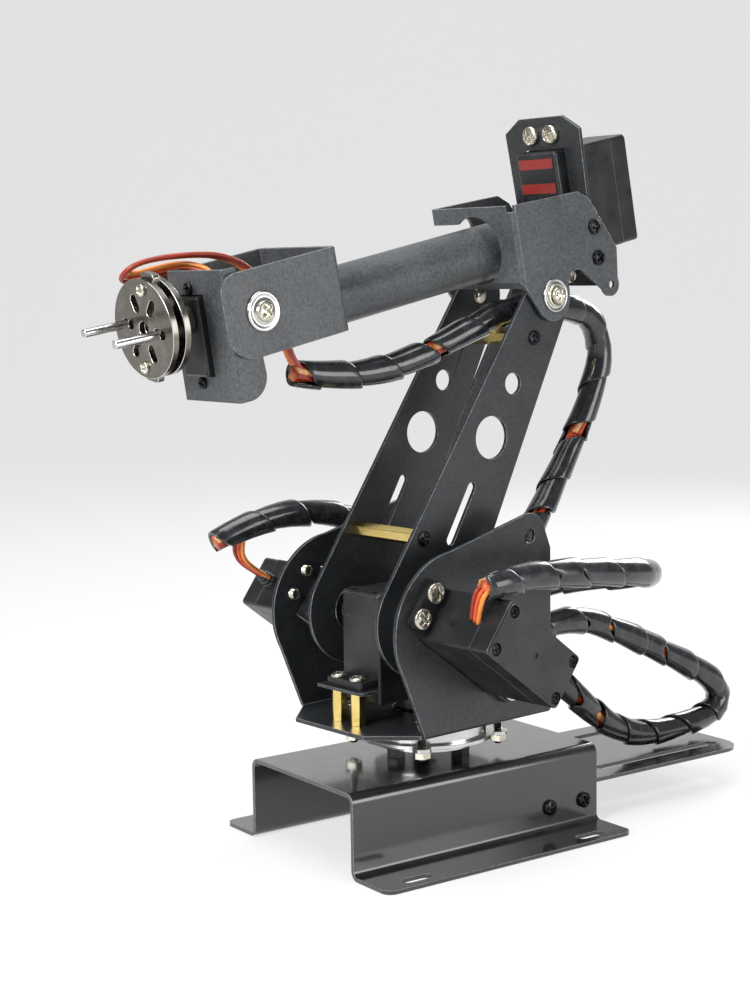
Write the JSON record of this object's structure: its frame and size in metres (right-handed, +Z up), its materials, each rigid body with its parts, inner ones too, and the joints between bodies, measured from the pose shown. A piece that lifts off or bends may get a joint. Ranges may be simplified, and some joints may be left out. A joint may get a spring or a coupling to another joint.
{
  "type": "six-axis desktop robot arm",
  "caption": "Small robot arm of bent black sheet with servo joints, a parallel link at the elbow, a rolling wrist and a two-pin tool disc.",
  "frame": {"origin": "under the base flanges, on the axis that the turret turns about and at the centre of the four slots", "axes": "+Z up along the yaw axis, +X the way the arm reaches at zero yaw, +Y to the arm's left"},
  "size_m": [0.2836, 0.1371, 0.2597],
  "materials": {
    "black_paint": "satin",
    "servo_plastic": "matte",
    "spacer_plastic": "matte",
    "brass": "satin",
    "black_steel": "satin",
    "zinc": "satin",
    "bright_metal": "satin",
    "sleeve": "gloss"
  },
  "bodies": {
    "base": {"base_channel": "black_paint", "tail_plate": "black_paint", "base_screws": "black_steel", "bearing_spacers": "spacer_plastic", "bearing_fixed_race": "bright_metal", "yaw_servo_horn": "bright_metal"},
    "turret": {"turret_bracket": "black_paint", "bearing_turning_race": "bright_metal", "bearing_bolts": "zinc", "bearing_nuts": "zinc", "yaw_support_plates": "black_paint", "yaw_posts": "brass", "yaw_ear_screws": "zinc", "yaw_servo_case": "servo_plastic", "yaw_servo_cover": "servo_plastic", "near_shoulder_servo_case": "servo_plastic", "near_shoulder_servo_cover": "servo_plastic", "far_shoulder_servo_case": "servo_plastic", "far_shoulder_servo_cover": "servo_plastic", "shoulder_ear_screws": "zinc", "turret_cover_screws": "black_steel", "near_servo_harness": "sleeve", "far_servo_harness": "sleeve", "loop_harness": "sleeve"},
    "lower_arm": {"arm_plate_near": "black_paint", "arm_plate_far": "black_paint", "arm_spacers": "brass", "arm_spacer_screws": "black_steel", "near_shoulder_horn": "bright_metal", "near_shoulder_block": "bright_metal", "shoulder_bearing": "bright_metal", "elbow_bolts": "zinc"},
    "crank": {"elbow_crank": "black_paint", "far_shoulder_horn": "bright_metal"},
    "link": {"elbow_link": "black_paint"},
    "housing": {"elbow_housing": "black_paint", "elbow_bearings": "bright_metal", "link_pin": "bright_metal", "roll_servo_plate": "black_paint", "housing_screws": "black_steel", "roll_servo_case": "servo_plastic", "roll_servo_cover": "servo_plastic", "roll_servo_screws": "zinc", "forearm_harness": "sleeve"},
    "forearm": {"roll_servo_horn": "bright_metal", "tube_plug": "bright_metal", "forearm_tube": "black_paint", "wrist_fork": "black_paint", "wrist_servo": "servo_plastic"},
    "wrist": {"wrist_bracket": "black_paint", "wrist_servo_horn": "bright_metal", "wrist_pivot_screw": "zinc", "tool_servo": "servo_plastic", "tool_servo_screws": "zinc"},
    "tool": {"tool_hub": "bright_metal", "tool_rear_disc": "bright_metal", "tool_front_disc": "bright_metal", "tool_plate": "black_paint", "tool_screws": "zinc", "tool_pins": "bright_metal"}
  },
  "joints": [
    {"name": "base_yaw", "type": "hinge", "parent": "base", "child": "turret", "pos_m": [0, 0, 0.04], "axis": [0, 0, 1], "range_deg": [-90, 90]},
    {"name": "shoulder_pitch", "type": "hinge", "parent": "turret", "child": "lower_arm", "pos_m": [0.01893, 0.00166, 0.0826], "axis": [-0.0872, 0.9962, 0], "range_deg": [-25, 60], "deforming": ["forearm_harness"]},
    {"name": "elbow_pitch", "type": "hinge", "parent": "lower_arm", "child": "housing", "pos_m": [-0.04593, -0.00402, 0.1942], "axis": [-0.0872, 0.9962, 0], "range_deg": [-60, 18], "deforming": ["forearm_harness"]},
    {"name": "crank_pitch", "type": "hinge", "parent": "lower_arm", "child": "crank", "pos_m": [0.02102, -0.02225, 0.0826], "axis": [-0.0872, 0.9962, 0], "range_deg": [-60, 18]},
    {"name": "link_pitch", "type": "hinge", "parent": "housing", "child": "link", "pos_m": [-0.07426, -0.0326, 0.19759], "axis": [-0.0872, 0.9962, 0], "range_deg": [-18, 60]},
    {"name": "forearm_roll", "type": "hinge", "parent": "housing", "child": "forearm", "pos_m": [-0.04228, -0.0037, 0.21223], "axis": [0.9762, 0.0854, -0.1994], "range_deg": [-90, 90], "deforming": ["forearm_harness"]},
    {"name": "wrist_pitch", "type": "hinge", "parent": "forearm", "child": "wrist", "pos_m": [0.08543, 0.00747, 0.19176], "axis": [-0.0872, 0.9962, 0], "range_deg": [-45, 45], "deforming": ["forearm_harness"]},
    {"name": "tool_roll", "type": "hinge", "parent": "wrist", "child": "tool", "pos_m": [0.11691, 0.01023, 0.18675], "axis": [0.9839, 0.0861, -0.1564], "range_deg": [-90, 90]}
  ],
  "couplings": [
    {"joint": "crank_pitch", "follows": "elbow_pitch", "ratio": 1},
    {"joint": "link_pitch", "follows": "elbow_pitch", "ratio": -1}
  ]
}
